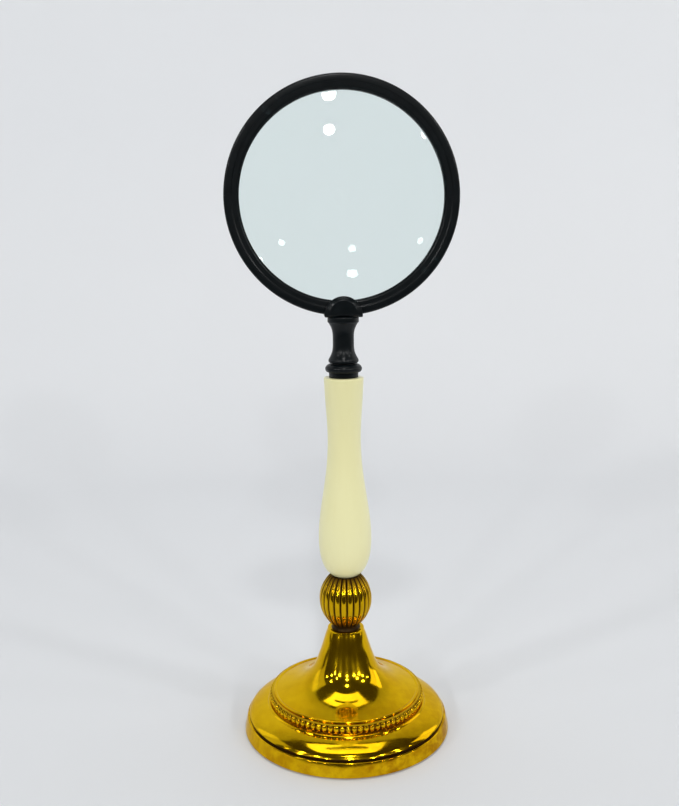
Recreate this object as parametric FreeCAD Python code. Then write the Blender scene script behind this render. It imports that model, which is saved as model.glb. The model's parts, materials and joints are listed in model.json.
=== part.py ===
"""Table magnifying glass on a brass stand, in millimetres.

Origin: centre of the underside, on the table. +Z up, the lens looks along -Y.
From the table up: a weighted round base with a beaded border, a flared pedestal,
a fluted ball, a turned resin handle, a black neck and a lens in a black ring.
One long tie rod holds the stem together, from the nut under the base weight to
the neck collar. The lens head is screwed on to the rod's top end and turns there.
"""
import FreeCAD, Part

import math
import os

from FreeCAD import Vector

# Driving dimensions
LENS_DIAMETER = 102.0
LENS_CURVE_RADIUS = 280.0
LENS_EDGE = 2.0
RING_DIAMETER = 114.0
RING_DEPTH = 9.0
RING_APERTURE = 99.3
BASE_DIAMETER = 108.0
PLATEAU_DIAMETER = 76.0
BALL_DIAMETER = 27.2
HANDLE_MAX_DIAMETER = 26.9
ROD_DIAMETER = 6.0
STUD_DIAMETER = 5.0
BEAD_COUNT = 84
FLUTE_COUNT = 24

# Levels of the stack, from the table up
FELT_TOP = 1.5
RIM_FOOT = 0.8
WEIGHT_BOTTOM = 3.5
SHELF_UNDER = 13.4
SHELF_TOP = 15.0
PLATEAU_Z = 21.0
BELL_TOP = 54.4
BALL_BOTTOM = 57.2
BALL_TOP = 82.9
HANDLE_TOP = 186.2
COLLAR_TOP = 193.0
FERRULE_BOTTOM = 193.5
FERRULE_TOP = 216.4
RING_CENTRE_Z = 274.1

# Clamp stack under the base weight, from the rod's foot up
ROD_FOOT = 2.2
NUT_BOTTOM = 3.0
NUT_TOP = 7.6
SPRING_TOP = 9.1
WASHER_TOP = 10.5

# Fits and small sizes shared by several parts
PIVOT_CLEARANCE = 0.05
ROD_HOLE_CLEARANCE = 0.1
SHELL_THICKNESS = 1.6
SHELF_INNER_RADIUS = 33.8
SKIRT_RADIUS = 37.6
STRIP_RADIUS = 39.5
RIM_INNER_RADIUS = 50.6

# Sizes that follow from the driving ones
LENS_RADIUS = LENS_DIAMETER / 2
RING_RADIUS = RING_DIAMETER / 2
RING_HALF_DEPTH = RING_DEPTH / 2
APERTURE_RADIUS = RING_APERTURE / 2
THREAD_RADIUS = LENS_RADIUS + 2.0
LIP_BACK = LENS_EDGE / 2 + 0.3
BASE_RADIUS = BASE_DIAMETER / 2
PLATEAU_RADIUS = PLATEAU_DIAMETER / 2
BALL_RADIUS = BALL_DIAMETER / 2
HANDLE_MAX_RADIUS = HANDLE_MAX_DIAMETER / 2
ROD_RADIUS = ROD_DIAMETER / 2
ROD_HOLE_RADIUS = ROD_RADIUS + ROD_HOLE_CLEARANCE
ROD_TOP = FERRULE_BOTTOM + 11.0
STUD_RADIUS = STUD_DIAMETER / 2
STUD_BOTTOM = ROD_TOP + 2.5
STUD_TOP = RING_CENTRE_Z - THREAD_RADIUS - 0.5

UP = Vector(0, 0, 1)
BACKWARD = Vector(0, 1, 0)
FOOT = Vector(0, 0, 0)
RING_CENTRE = Vector(0, 0, RING_CENTRE_Z)


# ---- outlines -------------------------------------------------------------

def stem_point(radius, height):
    """A point of an outline that turns about the stem's upright axis."""
    return Vector(radius, 0, height)


def ring_point(radius, depth):
    """A point of an outline that turns about the lens axis."""
    return Vector(radius, depth, RING_CENTRE_Z)


def lines(*points):
    """Straight edges through the points."""
    return [Part.LineSegment(a, b).toShape() for a, b in zip(points, points[1:])]


def arc(start, middle, end):
    """One circular edge."""
    return [Part.Arc(start, middle, end).toShape()]


def smooth(*points):
    """One smooth edge through the points."""
    curve = Part.BSplineCurve()
    curve.interpolate(list(points))
    return [curve.toShape()]


def revolve(edges, foot, axis):
    """The solid that a closed outline sweeps in one full turn."""
    outline = Part.Wire(edges)
    return Part.Face(outline).revolve(foot, axis, 360)


def turned(*corners):
    """A straight-sided turned piece on the stem's axis, from (radius, height) corners."""
    points = [stem_point(radius, height) for radius, height in corners]
    return revolve(lines(*points, points[0]), FOOT, UP)


def ring_turned(*corners):
    """A straight-sided turned piece on the lens axis, from (radius, depth) corners."""
    points = [ring_point(radius, depth) for radius, depth in corners]
    return revolve(lines(*points, points[0]), RING_CENTRE, BACKWARD)


def washer(inner_radius, outer_radius, bottom, top):
    """A plain flat ring on the stem's axis."""
    return turned((inner_radius, bottom), (outer_radius, bottom), (outer_radius, top), (inner_radius, top))


def round_bar(radius, bottom, top, chamfer):
    """A round bar on the stem's axis with chamfered ends."""
    return turned(
        (0, bottom),
        (radius - chamfer, bottom),
        (radius, bottom + chamfer),
        (radius, top - chamfer),
        (radius - chamfer, top),
        (0, top),
    )


def around_stem(shape, count):
    """Copies of a shape, evenly spaced about the stem's axis."""
    copies = []
    for index in range(count):
        turned_copy = shape.copy()
        turned_copy.rotate(FOOT, UP, index * 360 / count)
        copies.append(turned_copy)
    return copies


# ---- lens head ------------------------------------------------------------

def lens_depth(radius):
    """Distance from the lens's middle plane to its face, at a radius."""
    edge_drop = math.sqrt(LENS_CURVE_RADIUS**2 - LENS_RADIUS**2)
    return LENS_EDGE / 2 + math.sqrt(LENS_CURVE_RADIUS**2 - radius**2) - edge_drop


def lens():
    """Biconvex glass disc with a ground edge."""
    rim = LENS_EDGE / 2
    crown = lens_depth(0)
    half_way = LENS_RADIUS / 2
    half_way_depth = lens_depth(half_way)
    front = arc(ring_point(0, -crown), ring_point(half_way, -half_way_depth), ring_point(LENS_RADIUS, -rim))
    edge = lines(ring_point(LENS_RADIUS, -rim), ring_point(LENS_RADIUS, rim))
    back = arc(ring_point(LENS_RADIUS, rim), ring_point(half_way, half_way_depth), ring_point(0, crown))
    middle = lines(ring_point(0, crown), ring_point(0, -crown))
    return revolve(front + edge + back + middle, RING_CENTRE, BACKWARD)


def lens_frame():
    """Black ring: a lip in front of the lens, and a threaded bore behind it."""
    step = 0.4
    corner = 0.8
    lip_front = -RING_HALF_DEPTH + step
    ring = ring_turned(
        (APERTURE_RADIUS, -LIP_BACK),
        (APERTURE_RADIUS, lip_front + 1.0),
        (APERTURE_RADIUS + 0.9, lip_front),
        (THREAD_RADIUS, lip_front),
        (THREAD_RADIUS + step, -RING_HALF_DEPTH),
        (RING_RADIUS - corner, -RING_HALF_DEPTH),
        (RING_RADIUS, -RING_HALF_DEPTH + corner),
        (RING_RADIUS, RING_HALF_DEPTH - corner),
        (RING_RADIUS - corner, RING_HALF_DEPTH),
        (THREAD_RADIUS, RING_HALF_DEPTH),
        (THREAD_RADIUS, LIP_BACK),
        (LENS_RADIUS, LIP_BACK),
        (LENS_RADIUS, -LIP_BACK),
    )
    stud_hole = Part.makeCylinder(STUD_RADIUS, STUD_TOP - FERRULE_TOP, stem_point(0, FERRULE_TOP))
    return ring.cut(stud_hole)


def retaining_ring():
    """Threaded ring behind the lens, with two notches for a pin spanner."""
    back = RING_HALF_DEPTH - 0.5
    chamfer = 0.9
    notch_width = 2.4
    notch_depth = 1.2
    ring = ring_turned(
        (APERTURE_RADIUS, LIP_BACK),
        (THREAD_RADIUS, LIP_BACK),
        (THREAD_RADIUS, back),
        (APERTURE_RADIUS + chamfer, back),
        (APERTURE_RADIUS, back - chamfer),
    )
    notch_corner = Vector(-RING_RADIUS, back - notch_depth, RING_CENTRE_Z - notch_width / 2)
    notches = Part.makeBox(RING_DIAMETER, notch_depth, notch_width, notch_corner)
    return ring.cut(notches)


SADDLE_RADIUS = 9.4
SADDLE_SHOULDER_Z = FERRULE_TOP + 0.9
SADDLE_HALF_DEPTH = 7.0
CHEEK_BEVEL_DEPTH = 1.4
CHEEK_BEVEL_WIDTH = 2.8
CHEEK_LIFT = 0.4


def saddle_outline(depth, inset):
    """Half-round cheek outline at one depth, drawn in from the full size by inset."""
    radius = SADDLE_RADIUS - inset
    foot = FERRULE_TOP + CHEEK_LIFT * inset
    shoulder = SADDLE_SHOULDER_Z + CHEEK_LIFT * inset
    corner = 0.6

    def at(across, height):
        return Vector(across, depth, height)

    crown = arc(at(radius, shoulder), at(0, shoulder + radius), at(-radius, shoulder))
    base = lines(
        at(-radius, shoulder),
        at(-radius, foot + corner),
        at(-radius + corner, foot),
        at(radius - corner, foot),
        at(radius, foot + corner),
        at(radius, shoulder),
    )
    return Part.Wire(crown + base)


def ring_saddle():
    """Block under the lens ring, with a half-round cheek in front of it and one behind."""
    straight_half = SADDLE_HALF_DEPTH - CHEEK_BEVEL_DEPTH
    core = Part.Face(saddle_outline(-straight_half, 0)).extrude(Vector(0, 2 * straight_half, 0))
    block = core
    for side in (-1, 1):
        inner = saddle_outline(side * straight_half, 0)
        outer = saddle_outline(side * SADDLE_HALF_DEPTH, CHEEK_BEVEL_WIDTH)
        block = block.fuse(Part.makeLoft([inner, outer], True, True))
    seat_corner = Vector(0, -RING_HALF_DEPTH, RING_CENTRE_Z)
    ring_seat = Part.makeCylinder(RING_RADIUS, RING_DEPTH, seat_corner, BACKWARD)
    stud_hole = Part.makeCylinder(STUD_RADIUS, SADDLE_RADIUS, stem_point(0, FERRULE_TOP))
    return block.removeSplitter().cut(ring_seat).cut(stud_hole)


def neck_stud():
    """Headless stud that ties the ring and its saddle to the ferrule."""
    return round_bar(STUD_RADIUS, STUD_BOTTOM, STUD_TOP, 0.4)


def neck_ferrule():
    """Waisted black neck, bored from below for the tie rod and from above for the stud."""
    waist = 5.3
    lip = 7.6
    collar = 7.8
    profile = lines(
        stem_point(0, FERRULE_BOTTOM),
        stem_point(lip - 0.7, FERRULE_BOTTOM),
        stem_point(lip, FERRULE_BOTTOM + 0.8),
        stem_point(lip - 0.2, FERRULE_BOTTOM + 1.9),
    )
    profile += smooth(
        stem_point(lip - 0.2, FERRULE_BOTTOM + 1.9),
        stem_point(waist + 0.6, FERRULE_BOTTOM + 4.9),
        stem_point(waist, FERRULE_BOTTOM + 11.2),
        stem_point(waist + 0.5, FERRULE_BOTTOM + 16.8),
        stem_point(collar - 0.5, FERRULE_TOP - 3.0),
    )
    profile += lines(
        stem_point(collar - 0.5, FERRULE_TOP - 3.0),
        stem_point(collar, FERRULE_TOP - 2.4),
        stem_point(collar, FERRULE_TOP - 0.5),
        stem_point(collar - 0.5, FERRULE_TOP),
        stem_point(0, FERRULE_TOP),
        stem_point(0, FERRULE_BOTTOM),
    )
    body = revolve(profile, FOOT, UP)
    rod_hole_depth = ROD_TOP + 1.0 - FERRULE_BOTTOM
    rod_hole = Part.makeCylinder(ROD_RADIUS + PIVOT_CLEARANCE, rod_hole_depth, stem_point(0, FERRULE_BOTTOM))
    stud_hole = Part.makeCylinder(STUD_RADIUS, FERRULE_TOP - STUD_BOTTOM, stem_point(0, STUD_BOTTOM))
    return body.cut(rod_hole).cut(stud_hole)


# ---- stem -----------------------------------------------------------------

def swivel_washer():
    """Thin fibre washer that the head turns on."""
    return washer(ROD_HOLE_RADIUS, 5.8, COLLAR_TOP, FERRULE_BOTTOM)


def neck_collar():
    """Round nut with a bead turned on it: it pulls the whole stem together."""
    foot_radius = 7.35
    bead_radius = 9.2
    bead_bottom = HANDLE_TOP + 2.6
    bead_middle = bead_bottom + 1.9
    top_radius = 7.0
    profile = lines(
        stem_point(ROD_RADIUS, COLLAR_TOP),
        stem_point(ROD_RADIUS, HANDLE_TOP),
        stem_point(foot_radius - 0.3, HANDLE_TOP),
        stem_point(foot_radius, HANDLE_TOP + 0.3),
        stem_point(foot_radius, bead_bottom),
    )
    profile += arc(
        stem_point(foot_radius, bead_bottom),
        stem_point(bead_radius, bead_middle),
        stem_point(top_radius, COLLAR_TOP),
    )
    profile += lines(stem_point(top_radius, COLLAR_TOP), stem_point(ROD_RADIUS, COLLAR_TOP))
    return revolve(profile, FOOT, UP)


def handle():
    """Cream resin grip: slim at the top, full near the bottom, drilled right through."""
    top_radius = 10.0
    foot_radius = 6.2
    edge = 1.2
    bottom = BALL_TOP
    waist = 8.45
    profile = lines(
        stem_point(ROD_HOLE_RADIUS, HANDLE_TOP),
        stem_point(ROD_HOLE_RADIUS, bottom),
        stem_point(foot_radius, bottom),
    )
    profile += smooth(
        stem_point(foot_radius, bottom),
        stem_point(8.9, bottom + 2.1),
        stem_point(11.0, bottom + 5.3),
        stem_point(HANDLE_MAX_RADIUS, bottom + 16.9),
        stem_point(12.3, bottom + 35.5),
        stem_point(9.5, bottom + 54.5),
        stem_point(waist, bottom + 74.8),
        stem_point(9.45, bottom + 92.3),
        stem_point(top_radius, HANDLE_TOP - edge),
    )
    profile += arc(
        stem_point(top_radius, HANDLE_TOP - edge),
        stem_point(top_radius - edge * 0.3, HANDLE_TOP - edge * 0.3),
        stem_point(top_radius - edge, HANDLE_TOP),
    )
    profile += lines(stem_point(top_radius - edge, HANDLE_TOP), stem_point(ROD_HOLE_RADIUS, HANDLE_TOP))
    return revolve(profile, FOOT, UP)


def fluted_ball():
    """Brass ball, cut flat at both ends, with a ring of upright flutes in its side."""
    flute_width = 0.9
    flute_depth = 0.9
    end_radius = 8.0
    middle_z = (BALL_BOTTOM + BALL_TOP) / 2
    half_height = (BALL_TOP - BALL_BOTTOM) / 2
    bulge = BALL_RADIUS - end_radius
    side_radius = (bulge**2 + half_height**2) / (2 * bulge)
    profile = arc(
        stem_point(end_radius, BALL_BOTTOM), stem_point(BALL_RADIUS, middle_z), stem_point(end_radius, BALL_TOP)
    )
    profile += lines(
        stem_point(end_radius, BALL_TOP),
        stem_point(ROD_HOLE_RADIUS, BALL_TOP),
        stem_point(ROD_HOLE_RADIUS, BALL_BOTTOM),
        stem_point(end_radius, BALL_BOTTOM),
    )
    ball = revolve(profile, FOOT, UP)

    # A flat blade stands on each flute: its inner edge follows the ball's side at flute depth.
    margin = 1.0
    blade_corner = Vector(ROD_RADIUS + 1.5, -flute_width / 2, BALL_BOTTOM - margin)
    blade_size = (BALL_RADIUS, flute_width, BALL_TOP - BALL_BOTTOM + 2 * margin)
    side_centre = Vector(BALL_RADIUS - side_radius, -flute_width, middle_z)
    core = Part.makeCylinder(side_radius - flute_depth, 2 * flute_width, side_centre, BACKWARD)
    blade = Part.makeBox(*blade_size, blade_corner).cut(core)
    return ball.cut(around_stem(blade, FLUTE_COUNT))


def ball_collar():
    """Dark narrow ring between the ball and the pedestal, waisted outside."""
    outer = 7.6
    waist = 7.1
    middle = (BELL_TOP + BALL_BOTTOM) / 2
    profile = lines(
        stem_point(ROD_HOLE_RADIUS, BALL_BOTTOM),
        stem_point(ROD_HOLE_RADIUS, BELL_TOP),
        stem_point(outer, BELL_TOP),
    )
    profile += arc(stem_point(outer, BELL_TOP), stem_point(waist, middle), stem_point(outer, BALL_BOTTOM))
    profile += lines(stem_point(outer, BALL_BOTTOM), stem_point(ROD_HOLE_RADIUS, BALL_BOTTOM))
    return revolve(profile, FOOT, UP)


def tie_rod():
    """Long rod from the clamp nut to the lens head's pivot."""
    return round_bar(ROD_RADIUS, ROD_FOOT, ROD_TOP, 0.5)


# ---- base -----------------------------------------------------------------

def pedestal_bell():
    """Spun brass shell: a flared trumpet that runs out into a round plateau."""
    top_radius = 9.4
    fillet_outer = PLATEAU_RADIUS + 0.2
    inner_skirt = SKIRT_RADIUS - SHELL_THICKNESS
    web = 2.0
    profile = lines(
        stem_point(inner_skirt, SHELF_TOP),
        stem_point(SKIRT_RADIUS, SHELF_TOP),
        stem_point(SKIRT_RADIUS, PLATEAU_Z - 0.6),
        stem_point(fillet_outer, PLATEAU_Z - 0.6),
    )
    profile += arc(
        stem_point(fillet_outer, PLATEAU_Z - 0.6),
        stem_point(PLATEAU_RADIUS - 0.6, PLATEAU_Z + 0.4),
        stem_point(PLATEAU_RADIUS - 1.4, PLATEAU_Z),
    )
    profile += smooth(
        stem_point(PLATEAU_RADIUS - 1.4, PLATEAU_Z),
        stem_point(33.0, 22.2),
        stem_point(27.5, 24.2),
        stem_point(22.0, 27.4),
        stem_point(17.8, 31.5),
        stem_point(14.9, 37.5),
        stem_point(12.2, 45.2),
        stem_point(10.2, 51.6),
        stem_point(top_radius, BELL_TOP - 0.4),
    )
    profile += lines(
        stem_point(top_radius, BELL_TOP - 0.4),
        stem_point(top_radius - 0.4, BELL_TOP),
        stem_point(ROD_HOLE_RADIUS, BELL_TOP),
        stem_point(ROD_HOLE_RADIUS, BELL_TOP - web),
        stem_point(7.4, BELL_TOP - web),
    )
    profile += smooth(
        stem_point(7.4, BELL_TOP - web),
        stem_point(10.4, 44.6),
        stem_point(13.2, 36.5),
        stem_point(16.6, 30.2),
        stem_point(21.2, 25.8),
        stem_point(27.0, 22.5),
        stem_point(inner_skirt - 1.0, PLATEAU_Z - SHELL_THICKNESS),
    )
    profile += lines(
        stem_point(inner_skirt - 1.0, PLATEAU_Z - SHELL_THICKNESS),
        stem_point(inner_skirt, PLATEAU_Z - SHELL_THICKNESS - 1.0),
        stem_point(inner_skirt, SHELF_TOP),
    )
    return revolve(profile, FOOT, UP)


def bead_band():
    """Brass strip round the skirt, with a row of upright oval beads."""
    bead_half_width = 1.3
    bead_half_height = 2.1
    strip = washer(SKIRT_RADIUS, STRIP_RADIUS, SHELF_TOP, PLATEAU_Z - 0.6)
    centre = stem_point(STRIP_RADIUS - 0.1, (SHELF_TOP + PLATEAU_Z - 0.6) / 2)
    tall = centre + Vector(0, 0, bead_half_height)
    wide = centre + Vector(bead_half_width, 0, 0)
    half_ellipse = Part.ArcOfEllipse(Part.Ellipse(tall, wide, centre), 0, math.pi).toShape()
    ends = [vertex.Point for vertex in half_ellipse.Vertexes]
    outline = Part.Wire([half_ellipse] + lines(ends[1], ends[0]))
    bead = Part.Face(outline).revolve(centre, UP, 360)
    return strip.fuse(around_stem(bead, BEAD_COUNT))


def base_rim():
    """Cast brass rim: leaning band, groove, sloping shoulder and the shelf for the bell."""
    wall_top_radius = BASE_RADIUS - 1.8
    wall_top = 7.7
    lip_rounding = 0.6
    groove_radius = BASE_RADIUS - 3.4
    groove_z = 8.4
    shoulder_foot_radius = BASE_RADIUS - 2.4
    shoulder_foot_z = 9.2
    shoulder_top_radius = 41.6
    shoulder_top_z = SHELF_TOP - 0.6
    flange_top = 3.2
    wall_inner_radius = 48.4
    profile = lines(
        stem_point(SHELF_INNER_RADIUS, SHELF_UNDER),
        stem_point(SHELF_INNER_RADIUS, SHELF_TOP),
        stem_point(STRIP_RADIUS, SHELF_TOP),
    )
    profile += arc(
        stem_point(STRIP_RADIUS, SHELF_TOP),
        stem_point(STRIP_RADIUS + 1.1, SHELF_TOP + 0.3),
        stem_point(shoulder_top_radius, shoulder_top_z),
    )
    profile += arc(
        stem_point(shoulder_top_radius, shoulder_top_z),
        stem_point(47.6, 12.1),
        stem_point(shoulder_foot_radius, shoulder_foot_z),
    )
    profile += lines(
        stem_point(shoulder_foot_radius, shoulder_foot_z),
        stem_point(groove_radius, groove_z),
        stem_point(wall_top_radius - lip_rounding, wall_top),
    )
    profile += arc(
        stem_point(wall_top_radius - lip_rounding, wall_top),
        stem_point(wall_top_radius - 0.3 * lip_rounding, wall_top - 0.3 * lip_rounding),
        stem_point(wall_top_radius, wall_top - lip_rounding),
    )
    profile += lines(
        stem_point(wall_top_radius, wall_top - lip_rounding),
        stem_point(BASE_RADIUS, RIM_FOOT + 0.5),
        stem_point(BASE_RADIUS - 0.5, RIM_FOOT),
        stem_point(RIM_INNER_RADIUS, RIM_FOOT),
        stem_point(RIM_INNER_RADIUS, FELT_TOP),
        stem_point(42.0, FELT_TOP),
        stem_point(42.0, flange_top),
        stem_point(wall_inner_radius, flange_top),
        stem_point(wall_inner_radius, 8.0),
    )
    profile += arc(
        stem_point(wall_inner_radius, 8.0),
        stem_point(45.0, 11.1),
        stem_point(40.4, SHELF_UNDER),
    )
    profile += lines(stem_point(40.4, SHELF_UNDER), stem_point(SHELF_INNER_RADIUS, SHELF_UNDER))
    return revolve(profile, FOOT, UP)


def base_weight():
    """Cast iron disc under the shelf, counterbored from below for the nut and washers."""
    outer = 36.8
    counterbore = 9.6
    chamfer = 0.8
    return turned(
        (ROD_HOLE_RADIUS, SHELF_UNDER),
        (ROD_HOLE_RADIUS, WASHER_TOP),
        (counterbore, WASHER_TOP),
        (counterbore, WEIGHT_BOTTOM),
        (outer - chamfer, WEIGHT_BOTTOM),
        (outer, WEIGHT_BOTTOM + chamfer),
        (outer, SHELF_UNDER),
    )


def clamp_washer():
    """Wide flat washer in the weight's counterbore."""
    return washer(ROD_HOLE_RADIUS, 9.0, SPRING_TOP, WASHER_TOP)


def spring_washer():
    """Split lock washer, pressed flat."""
    split = 1.0
    ring = washer(ROD_HOLE_RADIUS, 5.2, NUT_TOP, SPRING_TOP)
    gap = Part.makeBox(10, split, SPRING_TOP - NUT_TOP, Vector(0, -split / 2, NUT_TOP))
    return ring.cut(gap)


def clamp_nut():
    """Hexagon nut with both faces chamfered."""
    across_flats = 10.0
    corner_radius = across_flats / math.sqrt(3)
    chamfer = 0.5
    corners = [
        Vector(corner_radius * math.cos(turn), corner_radius * math.sin(turn), NUT_BOTTOM)
        for turn in (math.radians(60 * index) for index in range(7))
    ]
    prism = Part.Face(Part.Wire(lines(*corners))).extrude(UP * (NUT_TOP - NUT_BOTTOM))
    envelope = round_bar(corner_radius, NUT_BOTTOM, NUT_TOP, chamfer)
    rod_hole = Part.makeCylinder(ROD_RADIUS, NUT_TOP - NUT_BOTTOM, stem_point(0, NUT_BOTTOM))
    return prism.common(envelope).cut(rod_hole)


def felt_pad():
    """Round felt glued under the base, a little proud of the rim's foot."""
    return Part.makeCylinder(RIM_INNER_RADIUS - 0.2, FELT_TOP)


# ---- export ---------------------------------------------------------------

NODES = [
    lens,
    lens_frame,
    retaining_ring,
    ring_saddle,
    neck_stud,
    neck_ferrule,
    swivel_washer,
    neck_collar,
    handle,
    fluted_ball,
    ball_collar,
    tie_rod,
    pedestal_bell,
    bead_band,
    base_rim,
    base_weight,
    clamp_washer,
    spring_washer,
    clamp_nut,
    felt_pad,
]

os.makedirs("parts", exist_ok=True)
for node in NODES:
    shape = node()
    if not shape.isValid() or len(shape.Solids) != 1:
        raise ValueError(f"{node.__name__}: {len(shape.Solids)} solids, valid {shape.isValid()}")
    shape.exportStep(f"parts/{node.__name__}.step")
    print(f"{node.__name__}: {shape.Volume / 1000:.2f} cm3")
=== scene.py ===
"""Looks of the table magnifying glass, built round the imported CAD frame.

Blender works in metres. Outlines are written in millimetres, as (radius, height) points of a turned
piece, and MM scales them when the piece's mesh is made. Levels and outer radii come from the frame.
The lens looks along -Y, so a piece turned about the lens axis has (radius, depth) points instead.
"""

import json
import math

import bmesh
import bpy
import numpy as np
from mathutils import Matrix, Vector


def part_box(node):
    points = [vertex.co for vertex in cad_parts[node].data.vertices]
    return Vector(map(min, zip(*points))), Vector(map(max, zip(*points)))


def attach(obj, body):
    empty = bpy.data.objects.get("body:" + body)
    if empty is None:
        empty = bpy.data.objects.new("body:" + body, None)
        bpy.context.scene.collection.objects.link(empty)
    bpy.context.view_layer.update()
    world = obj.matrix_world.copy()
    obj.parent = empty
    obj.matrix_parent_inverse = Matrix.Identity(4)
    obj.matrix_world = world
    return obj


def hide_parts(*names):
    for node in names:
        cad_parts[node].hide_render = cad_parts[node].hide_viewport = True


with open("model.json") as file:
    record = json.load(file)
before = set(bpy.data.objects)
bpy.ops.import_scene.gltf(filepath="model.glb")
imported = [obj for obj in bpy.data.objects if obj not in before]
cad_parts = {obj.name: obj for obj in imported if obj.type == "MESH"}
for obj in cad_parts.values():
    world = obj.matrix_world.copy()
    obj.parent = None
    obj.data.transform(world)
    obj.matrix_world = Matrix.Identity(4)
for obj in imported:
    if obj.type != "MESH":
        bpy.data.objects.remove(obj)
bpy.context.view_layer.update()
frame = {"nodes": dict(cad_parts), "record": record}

MM = 0.001
STEM_SEGMENTS = 288
BASE_SEGMENTS = 360
RING_SEGMENTS = 320
BEAD_SEGMENTS = 16
RIB_SEGMENTS = 18
BEAD_COUNT = 84
RIB_COUNT = 24
SHARP_ANGLE = math.radians(38)

# Radii in millimetres of the surfaces that several pieces share
ROD_HOLE = 3.1
SKIRT = 37.6
STRIP = 39.5

scene = bpy.context.scene
scene.view_settings.view_transform = "Standard"


def levels(node):
    """Bottom and top of a CAD node, in millimetres."""
    low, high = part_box(node)
    return low.z / MM, high.z / MM


def outer_radius(node):
    """Largest radius of a turned CAD node, in millimetres."""
    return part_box(node)[1].x / MM


# ---- outlines and meshes --------------------------------------------------

def spline(*points, steps=10):
    """Points along a smooth curve through the given ones: a natural cubic over chord length."""
    knots = np.array(points, float)
    count = len(knots)
    span = np.linalg.norm(np.diff(knots, axis=0), axis=1)
    slope = np.diff(knots, axis=0) / span[:, None]
    system = np.eye(count)
    target = np.zeros((count, 2))
    for i in range(1, count - 1):
        system[i, i - 1:i + 2] = span[i - 1], 2 * (span[i - 1] + span[i]), span[i]
        target[i] = 6 * (slope[i] - slope[i - 1])
    bend = np.linalg.solve(system, target)
    samples = []
    for i in range(count - 1):
        rate = slope[i] - span[i] * (2 * bend[i] + bend[i + 1]) / 6
        cubic = (bend[i + 1] - bend[i]) / (6 * span[i])
        for step in range(steps):
            t = step / steps * span[i]
            samples.append(tuple(knots[i] + rate * t + bend[i] / 2 * t**2 + cubic * t**3))
    samples.append(tuple(knots[-1]))
    return samples


def rounded(*corners, steps=4):
    """A closed outline from (radius, height) points and (radius, height, rounding) corners."""
    outline = []
    count = len(corners)
    for i, corner in enumerate(corners):
        here = np.array(corner[:2], float)
        if len(corner) == 2:
            outline.append(tuple(here))
            continue
        before = np.array(corners[i - 1][:2], float) - here
        after = np.array(corners[(i + 1) % count][:2], float) - here
        reach = min(corner[2], 0.45 * np.linalg.norm(before), 0.45 * np.linalg.norm(after))
        start = here + before / np.linalg.norm(before) * reach
        end = here + after / np.linalg.norm(after) * reach
        for step in range(steps + 1):
            t = step / steps
            outline.append(tuple((1 - t)**2 * start + 2 * t * (1 - t) * here + t**2 * end))
    return outline


def make_piece(name, vertices, faces, shade_and_grime=None):
    """A smooth-shaded mesh object from points in millimetres, with a value for each point of dirt and
    painted shade.
    """
    mesh = bpy.data.meshes.new(name)
    mesh.from_pydata([[c * MM for c in v] for v in vertices], [], faces)
    build = bmesh.new()
    build.from_mesh(mesh)
    bmesh.ops.recalc_face_normals(build, faces=build.faces)
    build.to_mesh(mesh)
    build.free()
    mesh.shade_smooth()
    mesh.set_sharp_from_angle(angle=SHARP_ANGLE)
    layer = mesh.attributes.new("shade_and_grime", "FLOAT", "POINT")
    layer.data.foreach_set("value", shade_and_grime or [0.0] * len(vertices))
    piece = bpy.data.objects.new(name, mesh)
    scene.collection.objects.link(piece)
    return piece


def lathe(name, outline, segments=STEM_SEGMENTS, relief=None, lens_centre=None):
    """Turns a closed outline about the stem, or about the lens axis through lens_centre.

    relief(radius, height, turn) gives (extra radius, dirt and painted shade) at a point, with turn from 0
    to 1.
    """
    vertices, shade_and_grime, rings = [], [], []
    for radius, height in outline:
        on_axis = radius < 1e-6
        first = len(vertices)
        rings.append([first] * segments if on_axis else list(range(first, first + segments)))
        for i in range(1 if on_axis else segments):
            turn = i / segments
            extra, shade_and_dirt = relief(radius, height, turn) if relief else (0.0, 0.0)
            reach = radius + extra
            across, along = reach * math.cos(math.tau * turn), reach * math.sin(math.tau * turn)
            if lens_centre is None:
                vertices.append((across, along, height))
            else:
                vertices.append((across, height, lens_centre + along))
            shade_and_grime.append(shade_and_dirt)
    faces = []
    for lower, upper in zip(rings, rings[1:] + rings[:1]):
        for i in range(segments):
            j = (i + 1) % segments
            corners = list(dict.fromkeys([lower[i], lower[j], upper[j], upper[i]]))
            if len(corners) > 2:
                faces.append(corners)
    return make_piece(name, vertices, faces, shade_and_grime)


def settle(piece, body, slot, *nodes):
    """Gives a piece its material and its body, and hides the CAD nodes that it stands for."""
    piece.data.materials.clear()
    piece.data.materials.append(MATERIALS[slot])
    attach(piece, body)
    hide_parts(*nodes)
    return piece


# ---- materials ------------------------------------------------------------

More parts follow.
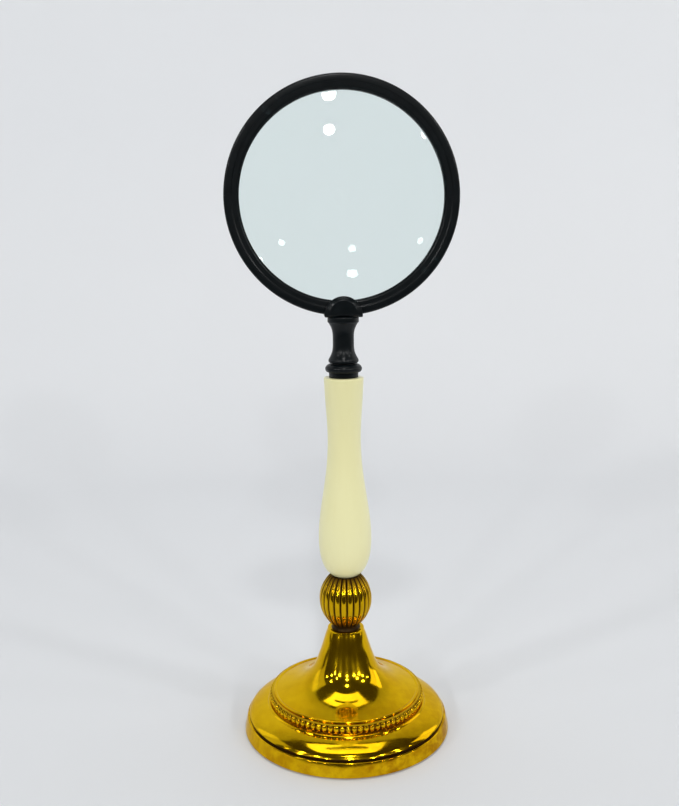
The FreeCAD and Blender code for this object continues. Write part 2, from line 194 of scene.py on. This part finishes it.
class Look:
    """One node material round a Principled shader, with short calls for the nodes it uses."""

    def __init__(self, name, **sockets):
        self.material = bpy.data.materials.new("look_" + name)
        self.material.use_nodes = True
        self.nodes = self.material.node_tree.nodes
        self.links = self.material.node_tree.links
        self.shader = self.nodes["Principled BSDF"]
        self.place = self.nodes.new("ShaderNodeTexCoord").outputs["Object"]
        for socket, value in sockets.items():
            self.shader.inputs[socket.replace("_", " ")].default_value = value

    def put(self, socket, value):
        """Links a node's output to one of the shader's sockets."""
        self.links.new(value, self.shader.inputs[socket])

    def node(self, kind, inputs, **settings):
        """A node with its settings, and each input set to a number or linked to an output."""
        node = self.nodes.new("ShaderNode" + kind)
        for key, value in settings.items():
            setattr(node, key, value)
        for key, value in inputs.items():
            if isinstance(value, bpy.types.NodeSocket):
                self.links.new(value, node.inputs[key])
            else:
                node.inputs[key].default_value = value
        return node

    def stretched(self, x, y, z):
        """Object coordinates times a number for each axis."""
        return self.node("VectorMath", {0: self.place, 1: (x, y, z)}, operation="MULTIPLY").outputs[0]

    def turning(self, radial, axial, around):
        """Coordinates that run out from the stem, up it and round it, each with its own scale."""
        axes = self.node("SeparateXYZ", {0: self.place}).outputs
        flat = self.node("CombineXYZ", {0: axes[0], 1: axes[1]}).outputs[0]
        radius = self.node("VectorMath", {0: flat}, operation="LENGTH").outputs["Value"]
        angle = self.node("Math", {0: axes[1], 1: axes[0]}, operation="ARCTAN2").outputs[0]
        scaled = [
            self.node("Math", {0: value, 1: scale}, operation="MULTIPLY").outputs[0]
            for value, scale in ((radius, radial), (axes[2], axial), (angle, around))
        ]
        return self.node("CombineXYZ", dict(enumerate(scaled))).outputs[0]

    def noise(self, scale, detail=3.0, roughness=0.55, vector=None):
        """Noise, with scale in repeats per metre."""
        inputs = {"Vector": vector or self.place, "Scale": scale, "Detail": detail, "Roughness": roughness}
        return self.node("TexNoise", inputs).outputs[0]

    def spread(self, value, low, high, to_low=0.0, to_high=1.0):
        """Maps a value's range to another, clamped."""
        return self.node("MapRange", {0: value, 1: low, 2: high, 3: to_low, 4: to_high}).outputs[0]

    def product(self, first, second):
        return self.node("Math", {0: first, 1: second}, operation="MULTIPLY").outputs[0]

    def larger(self, first, second):
        return self.node("Math", {0: first, 1: second}, operation="MAXIMUM").outputs[0]

    def mix(self, factor, first, second):
        """Mixes two colours, each an (r, g, b) or an output."""
        colors = {
            index: value if isinstance(value, bpy.types.NodeSocket) else (*value, 1.0)
            for index, value in ((6, first), (7, second))
        }
        return self.node("Mix", {0: factor, **colors}, data_type="RGBA").outputs[2]

    def bump(self, *layers):
        """Stacks (height, depth in metres) layers into one bump normal for the shader."""
        normal = None
        for height, depth in layers:
            inputs = {"Strength": 1.0, "Distance": depth, "Height": height}
            if normal is not None:
                inputs["Normal"] = normal
            normal = self.node("Bump", inputs).outputs[0]
        self.put("Normal", normal)

    def attribute(self, name):
        """A number stored on the mesh's points."""
        return self.node("Attribute", {}, attribute_name=name).outputs["Fac"]


def polished_brass():
    """Warm brass: spun waviness, fine turning marks, an amber bloom, and dark dirt with painted shade in
    the grooves and gaps.
    """
    look = Look("polished_brass", Metallic=1.0, Specular_Tint=(1.0, 0.9, 0.6, 1.0))
    gold = look.mix(look.spread(look.noise(38, 2), 0.38, 0.66), (0.83, 0.52, 0.006), (0.75, 0.44, 0.003))
    bloom = look.spread(look.noise(210, 5, 0.65), 0.38, 0.6, 0.1, 0.95)
    patches = look.spread(look.noise(26, 2), 0.4, 0.6, 0.4, 1.0)
    height = look.node("SeparateXYZ", {0: look.place}).outputs[2]
    # The amber is strongest on the base's upright band, and thins out above its top
    on_band = look.spread(height, 0.0074, 0.009, 1.0, 0.3)
    stain = look.product(look.product(bloom, patches), on_band)
    amber = look.mix(stain, gold, (0.36, 0.13, 0.002))
    # The stored value mixes in near black: dirt, and painted shade in grooves, between beads and at the
    # ball's ends and neck.
    shade_and_grime = look.attribute("shade_and_grime")
    look.put("Base Color", look.mix(shade_and_grime, amber, (0.055, 0.024, 0.006)))
    hairlines = look.noise(1.0, 2, 0.5, look.turning(5200, 5200, 3.0))
    smear = look.spread(look.noise(90, 4), 0.35, 0.75, 0.07, 0.17)
    look.put("Roughness", look.larger(smear, look.spread(shade_and_grime, 0.0, 1.0, 0.0, 0.55)))
    look.bump((look.noise(55, 1.5, 0.4), 0.00028), (hairlines, 0.0000022), (look.noise(700, 3), 0.000008))
    return look.material


def dark_brass():
    """Unpolished brass, coloured almost black as painted shade for the shadowed band under the ball."""
    look = Look("dark_brass", Metallic=1.0)
    # The near-black colour is painted shade.
    look.put("Base Color", look.mix(look.noise(400, 4), (0.022, 0.012, 0.005), (0.06, 0.034, 0.012)))
    look.put("Roughness", look.spread(look.noise(300, 3), 0.3, 0.7, 0.35, 0.6))
    look.bump((look.noise(1500, 3), 0.00002))
    return look.material


def black_enamel():
    """Satin black coat with a cool cast, a fine orange peel and edges rubbed a little lighter."""
    look = Look("black_enamel", Specular_IOR_Level=0.12, Coat_Weight=0.2, Coat_Roughness=0.2)
    coat = look.mix(look.noise(160, 4), (0.0008, 0.0020, 0.0030), (0.0022, 0.0048, 0.0064))
    pointiness = look.node("NewGeometry", {}).outputs["Pointiness"]
    rubbed = look.product(look.spread(pointiness, 0.515, 0.58), look.spread(look.noise(350, 4), 0.4, 0.65))
    look.put("Base Color", look.mix(rubbed, coat, (0.010, 0.017, 0.020)))
    look.put("Roughness", look.spread(look.noise(240, 5), 0.3, 0.7, 0.34, 0.5))
    look.bump((look.noise(95, 2), 0.00018), (look.noise(1600, 3), 0.000018))
    return look.material


def cream_resin():
    """Cast resin like old ivory: faint upright grain, polished by hand."""
    look = Look("cream_resin", Coat_Weight=0.25, Coat_Roughness=0.12, IOR=1.5)
    grain = look.noise(1.0, 4, 0.6, look.stretched(520, 520, 22))
    clouds = look.noise(12, 1)
    base = look.mix(look.spread(clouds, 0.35, 0.68), (0.92, 0.89, 0.51), (0.91, 0.87, 0.48))
    look.put("Base Color", look.mix(look.spread(grain, 0.5, 0.78, 0.0, 0.15), base, (0.85, 0.79, 0.40)))
    look.put("Roughness", look.spread(look.noise(60, 2), 0.3, 0.7, 0.29, 0.35))
    look.bump((grain, 0.000004))
    return look.material


def optical_glass():
    """Clear crown glass with the faint green of a thick edge and a few smears."""
    look = Look("optical_glass", Transmission_Weight=1.0, IOR=1.52, Base_Color=(0.91, 1.0, 0.985, 1.0))
    look.put("Roughness", look.spread(look.noise(60, 4), 0.45, 0.7, 0.0, 0.02))
    return look.material


def plated_steel():
    """Zinc-plated steel, brushed round the stem."""
    look = Look("plated_steel", Metallic=1.0)
    marks = look.noise(1.0, 3, 0.6, look.turning(2600, 2600, 6.0))
    look.put("Base Color", look.mix(look.noise(300, 3), (0.52, 0.53, 0.55), (0.66, 0.66, 0.66)))
    look.put("Roughness", look.spread(marks, 0.3, 0.7, 0.22, 0.42))
    look.bump((marks, 0.00001))
    return look.material


def cast_iron():
    """Sand-cast iron, dark and rough."""
    look = Look("cast_iron", Metallic=0.6)
    look.put("Base Color", look.mix(look.noise(500, 5), (0.045, 0.043, 0.04), (0.12, 0.10, 0.085)))
    look.put("Roughness", look.spread(look.noise(700, 3), 0.3, 0.7, 0.6, 0.85))
    look.bump((look.noise(900, 5, 0.7), 0.0002))
    return look.material


def fibre():
    """Black vulcanised fibre with short pressed fibres."""
    look = Look("fibre")
    fibres = look.noise(1.0, 4, 0.7, look.stretched(2500, 600, 2500))
    look.put("Base Color", look.mix(fibres, (0.012, 0.012, 0.013), (0.03, 0.029, 0.028)))
    look.put("Roughness", look.spread(fibres, 0.3, 0.7, 0.55, 0.75))
    look.bump((fibres, 0.00003))
    return look.material


def felt():
    """Dark green pressed wool."""
    look = Look("felt", Sheen_Weight=0.6, Sheen_Roughness=0.6, Sheen_Tint=(0.35, 0.55, 0.42, 1.0))
    wool = look.noise(2600, 6, 0.75)
    look.put("Base Color", look.mix(wool, (0.008, 0.045, 0.022), (0.03, 0.12, 0.065)))
    look.put("Roughness", look.spread(wool, 0.3, 0.7, 0.85, 1.0))
    look.bump((wool, 0.0003), (look.noise(500, 3), 0.0002))
    return look.material


MATERIAL_MAKERS = (
    polished_brass, dark_brass, black_enamel, cream_resin, optical_glass,
    plated_steel, cast_iron, fibre, felt,
)
MATERIALS = {make.__name__: make() for make in MATERIAL_MAKERS}


# ---- base -----------------------------------------------------------------

def build_base_rim():
    """Band with a soft foot, a groove, the domed shoulder and the small fillet under the beads."""
    foot, _ = levels("base_rim")
    shelf, _ = levels("bead_band")
    edge = outer_radius("base_rim")
    wall_top = 7.7
    groove = wall_top + 0.7
    groove_half_height = 0.65
    shelf_bore = 33.8
    shelf_under = shelf - 1.6
    wall_inner = 48.4
    felt_seat, felt_top = 50.6, 1.5
    flange, flange_top = 42.0, 3.2
    shoulder = spline(
        (edge - 2.7, groove + 0.7), (edge - 3.1, groove + 1.4),
        (47.8, 12.1), (44.8, 13.4), (41.6, shelf - 0.6),
    )
    outline = rounded(
        (felt_seat, felt_top), (felt_seat, foot), (edge - 0.1, foot, 0.5), (edge - 1.75, wall_top, 1.0),
        (edge - 2.5, wall_top + 0.05, 0.2), (edge - 2.8, wall_top + 0.1), (edge - 3.4, groove - 0.2),
        (edge - 3.5, groove + 0.3), (edge - 2.9, groove + 0.6), *shoulder,
        (41.2, shelf + 0.05), (40.6, shelf + 0.3), (40.0, shelf + 0.2), (STRIP, shelf),
        (shelf_bore, shelf), (shelf_bore, shelf_under), (40.4, shelf_under), (45.0, 11.1),
        (wall_inner, 8.0), (wall_inner, flange_top), (flange, flange_top), (flange, felt_top),
    )

    def relief(radius, height, turn):
        # Painted shade with dirt: the groove and the fillet at the foot of the beads are darkened.
        outside = wall_inner + 0.1 < radius < edge - 2.75
        in_groove = 1.0 if outside and abs(height - groove) < groove_half_height else 0.0
        by_beads = max(0.0, 1 - abs(radius - STRIP - 0.2) / 0.35) if height > shelf else 0.0
        return 0.0, min(1.0, in_groove + 0.7 * by_beads)

    rim = lathe("base_rim_cast", outline, BASE_SEGMENTS, relief)
    settle(rim, "stand", "polished_brass", "base_rim")


def build_bead_band():
    """Pressed strip with a row of oval beads, darkened between them with dirt and painted shade."""
    low, high = levels("bead_band")
    middle = (low + high) / 2
    half_width = 1.38
    half_height = 2.15
    rise = outer_radius("bead_band") - STRIP
    rows = 40

    def relief(radius, height, turn):
        if radius < STRIP:
            return 0.0, 0.0
        phase = (turn * BEAD_COUNT) % 1.0 - 0.5
        across = phase * math.tau * STRIP / BEAD_COUNT / half_width
        upright = abs(height - middle) / half_height
        bulge = math.sqrt(max(0.0, 1 - across**2 - upright**2))
        # Darkened where the beads fall away: dirt and painted shade between them.
        between = max(0.0, 1 - bulge / 0.7)**1.4
        return rise * bulge, between * (1.0 if upright < 0.9 else 0.35)

    face = [(STRIP, low + (high - low) * row / rows) for row in range(rows + 1)]
    outline = [(SKIRT, low), *face, (SKIRT, high)]
    band = lathe("bead_band_pressed", outline, BEAD_COUNT * BEAD_SEGMENTS, relief)
    settle(band, "stand", "polished_brass", "bead_band")


def build_pedestal():
    """Spun shell: thin lip at the top, long trumpet, plateau and its raised edge."""
    shelf, top = levels("pedestal_bell")
    plateau = levels("bead_band")[1] + 0.6
    edge = outer_radius("pedestal_bell")
    inner_skirt = 36.0
    web_under = top - 2.0
    outer = spline(
        (edge - 1.6, plateau), (33.0, 22.2), (27.5, 24.2), (22.0, 27.4), (17.8, 31.5), (14.9, 37.5),
        (12.2, 45.2), (10.2, 51.6), (9.5, top - 0.9),
    )
    inner = spline(
        (7.4, web_under), (10.4, 44.6), (13.2, 36.5), (16.6, 30.2), (21.2, 25.8), (27.0, 22.5), (35.0, 19.4)
    )
    outline = rounded(
        (inner_skirt, shelf), (SKIRT, shelf), (SKIRT, plateau - 0.6), (edge, plateau - 0.6, 0.2),
        (edge, plateau + 0.1, 0.35), (edge - 0.7, plateau + 0.38, 0.3), *outer,
        (9.4, top, 0.35), (ROD_HOLE, top), (ROD_HOLE, web_under), *inner, (inner_skirt, 18.4),
    )

    def relief(radius, height, turn):
        # Painted shade: the top face round the ball collar is darkened for the shadow under the ball.
        neck = max(0.0, 1 - (radius - 7.6) / 1.0) if height > top - 0.2 else 0.0
        return 0.0, min(1.0, neck)

    shell = lathe("pedestal_spun", outline, BASE_SEGMENTS, relief)
    settle(shell, "stand", "polished_brass", "pedestal_bell")


# ---- stem -----------------------------------------------------------------

def build_fluted_ball():
    """Ball of rounded ribs that narrow towards its ends, with sharp grooves between them darkened with dirt
    and painted shade.
    """
    low, high = levels("fluted_ball")
    widest = outer_radius("fluted_ball")
    end = 8.0
    flat = end - 1.2
    middle = (low + high) / 2
    half_height = (high - low) / 2
    bulge = widest - end
    side = (bulge**2 + half_height**2) / (2 * bulge)
    reach = math.asin(half_height / side)
    rows = 72
    arc = []
    for row in range(rows + 1):
        angle = -reach + 2 * reach * row / rows
        arc.append((widest - side + side * math.cos(angle), middle + side * math.sin(angle)))
    outline = [(ROD_HOLE, low), (flat, low), *arc, (flat, high), (ROD_HOLE, high)]

    def relief(radius, height, turn):
        # Painted shade: the flat end faces, against the handle and the collar, are fully darkened.
        if radius < flat - 0.1:
            return 0.0, 1.0
        near_end = abs(height - middle) / half_height
        from_rib = abs((turn * RIB_COUNT) % 1.0 - 0.5) * 2
        rib_half_width = math.pi * radius / RIB_COUNT
        depth = 0.62 * rib_half_width * (0.75 * from_rib**2.6 + 0.25 * from_rib**8)
        # A faint overall dark tone, dirt with painted shade in the grooves, and painted shade towards the
        # ends under the handle and over the collar.
        towards_end = near_end**(2.5 if height > middle else 4)
        return -depth, min(1.0, 0.12 + max(0.0, (from_rib - 0.5) / 0.5) + 0.8 * towards_end)

    ball = lathe("fluted_ball_ribbed", outline, RIB_COUNT * RIB_SEGMENTS, relief)
    settle(ball, "stand", "polished_brass", "fluted_ball")


def build_ball_collar():
    """Waisted ring under the ball, near black as painted shade."""
    low, high = levels("ball_collar")
    side = spline((7.4, low + 0.3), (7.1, (low + high) / 2), (7.4, high - 0.3))
    outline = rounded((ROD_HOLE, low), (7.6, low, 0.2), *side, (7.6, high, 0.2), (ROD_HOLE, high))
    settle(lathe("ball_collar_turned", outline), "stand", "dark_brass", "ball_collar")


def build_handle():
    """Turned grip with softened ends."""
    low, high = levels("handle")
    side = spline(
        (6.6, low + 0.35), (8.9, low + 2.1), (11.0, low + 5.3), (outer_radius("handle") - 0.05, low + 16.9),
        (12.3, low + 35.5), (9.5, low + 54.5), (8.45, low + 74.8), (9.45, low + 92.3), (9.95, high - 1.5),
        steps=14,
    )
    outline = rounded((ROD_HOLE, high), (ROD_HOLE, low), (6.2, low, 0.3), *side, (10.0, high, 1.2))
    settle(lathe("handle_turned", outline), "stand", "cream_resin", "handle")


def build_neck_collar():
    """Foot, bead and sloping top of the round nut over the handle."""
    low, high = levels("neck_collar")
    bead = spline(
        (7.35, low + 2.6), (8.6, low + 3.0), (outer_radius("neck_collar"), low + 4.4),
        (8.5, low + 5.9), (7.0, high),
    )
    outline = rounded((3.0, high), (3.0, low), (7.35, low, 0.3), *bead)
    settle(lathe("neck_collar_turned", outline), "stand", "black_enamel", "neck_collar")


# ---- lens head ------------------------------------------------------------

def build_neck_ferrule():
    """Bell lip, waist and collar, bored at both ends."""
    low, high = levels("neck_ferrule")
    rod_top = levels("tie_rod")[1]
    stud_bottom = levels("neck_stud")[0]
    bore = 3.05
    stud = 2.5
    waist = spline(
        (7.35, low + 2.0), (5.9, low + 4.9), (5.3, low + 11.2), (5.8, low + 16.8), (7.25, high - 3.1),
        steps=12,
    )
    outline = rounded(
        (0.0, rod_top + 1.0), (bore, rod_top + 1.0), (bore, low), (7.0, low, 0.3), (7.65, low + 0.9, 0.6),
        *waist, (7.8, high - 2.6, 0.4), (7.8, high, 0.6), (stud, high), (stud, stud_bottom),
        (0.0, stud_bottom),
    )
    settle(lathe("neck_ferrule_turned", outline), "head", "black_enamel", "neck_ferrule")


def build_lens_frame():
    """Ring with a stepped, softly rounded front face and the lip that the lens rests on."""
    low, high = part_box("lens_frame")
    centre = (low.z + high.z) / 2 / MM
    edge = high.x / MM
    half = high.y / MM
    lens_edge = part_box("lens")[1].x / MM
    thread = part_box("retaining_ring")[1].x / MM
    aperture = 49.65
    lip = 1.3
    outline = rounded(
        (lens_edge, -lip), (aperture, -lip, 0.3), (aperture, -half + 1.4, 0.7),
        (aperture + 0.9, -half + 0.4, 0.5), (thread, -half + 0.4, 0.2), (thread + 0.45, -half, 0.3),
        (edge - 0.7, -half, 0.9), (edge, -half + 0.8, 0.8), (edge, half - 0.8, 0.8),
        (edge - 0.7, half, 0.9), (thread, half, 0.2), (thread, lip), (lens_edge, lip),
    )
    ring = lathe("lens_frame_ring", outline, RING_SEGMENTS, lens_centre=centre)
    settle(ring, "head", "black_enamel", "lens_frame")


def saddle_loop(depth, inset, radius, shoulder, foot):
    """Half-round saddle outline at one depth, drawn in from full size by inset."""
    size = radius - inset
    lift = 0.4 * inset
    steps = 48
    crown = []
    for step in range(steps + 1):
        angle = math.pi * step / steps
        crown.append((size * math.cos(angle), depth, shoulder + lift + size * math.sin(angle)))
    base = foot + lift
    corner = [(size, base + 0.6), (size - 0.15, base + 0.15), (size - 0.6, base)]
    left = [(-x, depth, z) for x, z in corner]
    right = [(x, depth, z) for x, z in reversed(corner)]
    return crown + left + right


def build_ring_saddle():
    """Block with bevelled half-round cheeks, cut out to hold the ring."""
    low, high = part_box("ring_saddle")
    foot = low.z / MM
    radius = high.x / MM
    shoulder = high.z / MM - radius
    half = high.y / MM
    # How far behind the cheek's face each outline stands, and how far it is drawn in there
    stations = ((0.0, 3.6), (0.0, 2.9), (0.16, 2.55), (1.25, 0.3), (1.5, 0.06), (1.8, 0.0))
    depths = [(-half + back, inset) for back, inset in stations]
    depths += [(-depth, inset) for depth, inset in reversed(depths)]
    loops = [saddle_loop(depth, inset, radius, shoulder, foot) for depth, inset in depths]
    count = len(loops[0])
    vertices = [point for loop in loops for point in loop]
    faces = [list(range(count)), list(range(len(vertices) - count, len(vertices)))]
    for start in range(0, len(vertices) - count, count):
        for i in range(count):
            j = (i + 1) % count
            faces.append([start + i, start + j, start + count + j, start + count + i])
    block = make_piece("ring_saddle_block", vertices, faces)

    ring_low, ring_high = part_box("lens_frame")
    ring_half = ring_high.y / MM
    ring_edge = ring_high.x / MM
    centre = (ring_low.z + ring_high.z) / 2 / MM
    seat_outline = [(0.0, -ring_half), (ring_edge, -ring_half), (ring_edge, ring_half), (0.0, ring_half)]
    seat = lathe("saddle_seat_cutter", seat_outline, RING_SEGMENTS, lens_centre=centre)
    cut = block.modifiers.new("ring seat", "BOOLEAN")
    cut.operation = "DIFFERENCE"
    cut.object = seat
    graph = bpy.context.evaluated_depsgraph_get()
    block.data = bpy.data.meshes.new_from_object(block.evaluated_get(graph))
    block.modifiers.clear()
    bpy.data.objects.remove(seat)
    settle(block, "head", "black_enamel", "ring_saddle")


def dress_frame_nodes():
    """The CAD pieces that stay as they are get their material."""
    slots = {row["node"]: row["material_slot"] for row in frame["record"]["subparts"]}
    for name, node in frame["nodes"].items():
        node.data.materials.clear()
        node.data.materials.append(MATERIALS[slots[name]])


# ---- stage, lights and camera ---------------------------------------------

def plain(name, color, roughness):
    """A quiet material for the floor, with slight cloudiness."""
    look = Look(name, Roughness=roughness)
    tone = look.noise(2.5, 2)
    look.put("Base Color", look.mix(tone, color, [0.96 * c for c in color]))
    return look.material


def build_sweep():
    """Pale floor that curves up into a wall well behind the object."""
    front = -0.4
    wall = 0.95
    bend = 0.45
    half_width = 3.0
    height = 2.4
    steps = 24
    profile = [(front, 0.0), (0.0, 0.0)]
    for step in range(steps + 1):
        angle = math.pi / 2 * step / steps
        profile.append((wall - bend + bend * math.sin(angle), bend - bend * math.cos(angle)))
    profile.append((wall, height))
    vertices = [(x, y, z) for y, z in profile for x in (-half_width, half_width)]
    faces = [[2 * i, 2 * i + 1, 2 * i + 3, 2 * i + 2] for i in range(len(profile) - 1)]
    mesh = bpy.data.meshes.new("sweep")
    mesh.from_pydata(vertices, [], faces)
    mesh.shade_smooth()
    sweep = bpy.data.objects.new("sweep", mesh)
    scene.collection.objects.link(sweep)
    mesh.materials.append(plain("sweep", (0.79, 0.81, 0.84), 0.85))


def add_light(name, place, target, size, power, color=(1.0, 1.0, 1.0), shape="RECTANGLE"):
    """A flat soft light that looks at a target point."""
    light = bpy.data.lights.new(name, "AREA")
    light.shape = shape
    light.size, light.size_y = size
    light.energy = power
    light.color = color
    lamp = bpy.data.objects.new(name, light)
    scene.collection.objects.link(lamp)
    lamp.location = place
    lamp.rotation_euler = (Vector(target) - Vector(place)).to_track_quat("-Z", "Y").to_euler()


def build_lights():
    """Rows of small ceiling lights in front of the object, a panel overhead and two pale side windows."""
    middle = (0.0, 0.0, 0.15)
    ceiling = 1.8
    first_row = -1.2
    row_gap = 1.45
    column_gap = 2.0
    lamp_size = (0.2, 0.2)
    for row in range(3):
        power = 5.4 + 3.9 * row
        for column in range(-2, 3):
            place = (column_gap * column, first_row - row_gap * row, ceiling)
            add_light("ceiling_light", place, middle, lamp_size, power, shape="DISK")
    add_light("overhead_panel", (0.0, 0.08, 1.6), middle, (1.1, 0.8), 5.2)
    add_light("left_window", (-1.3, 0.3, 0.7), middle, (0.9, 1.2), 1.9, (0.95, 0.98, 1.0))
    add_light("right_window", (1.3, 0.3, 0.6), middle, (0.7, 1.0), 2.8, (1.0, 0.98, 0.95))


def build_world():
    """A dim hall for surfaces to mirror, that looks pale itself, straight or through the lens."""
    mirrored = (0.062, 0.056, 0.042, 1.0)
    pale = (0.66, 0.69, 0.72, 1.0)
    world = bpy.data.worlds.new("studio")
    world.use_nodes = True
    nodes = world.node_tree.nodes
    links = world.node_tree.links
    path = nodes.new("ShaderNodeLightPath")
    seen = nodes.new("ShaderNodeMath")
    seen.operation = "MAXIMUM"
    links.new(path.outputs["Is Camera Ray"], seen.inputs[0])
    links.new(path.outputs["Is Transmission Ray"], seen.inputs[1])
    color = nodes.new("ShaderNodeMix")
    color.data_type = "RGBA"
    color.inputs[6].default_value = mirrored
    color.inputs[7].default_value = pale
    links.new(seen.outputs[0], color.inputs[0])
    links.new(color.outputs[2], nodes["Background"].inputs["Color"])
    nodes["Background"].inputs["Strength"].default_value = 1.0
    scene.world = world


def build_camera():
    """Camera a little below the lens's middle and left of the lens axis, looking down."""
    azimuth = math.radians(-3.0)
    distance = 0.446
    height = 0.2485
    sideways = -0.0022
    pitch = math.radians(9.6)
    roll = math.radians(-0.54)
    focal_pixels = 900
    long_side_pixels = 806
    data = bpy.data.cameras.new("camera")
    data.sensor_width = 36.0
    data.lens = data.sensor_width * focal_pixels / long_side_pixels
    camera = bpy.data.objects.new("camera", data)
    scene.collection.objects.link(camera)
    heading = Matrix.Rotation(azimuth, 4, "Z")
    look_down = Matrix.Rotation(math.pi / 2 - pitch, 4, "X")
    tilt = Matrix.Rotation(roll, 4, "Z")
    camera.matrix_world = heading @ Matrix.Translation((sideways, -distance, height)) @ look_down @ tilt
    scene.camera = camera


build_base_rim()
build_bead_band()
build_pedestal()
build_fluted_ball()
build_ball_collar()
build_handle()
build_neck_collar()
build_neck_ferrule()
build_lens_frame()
build_ring_saddle()
dress_frame_nodes()
build_sweep()
build_lights()
build_world()
build_camera()
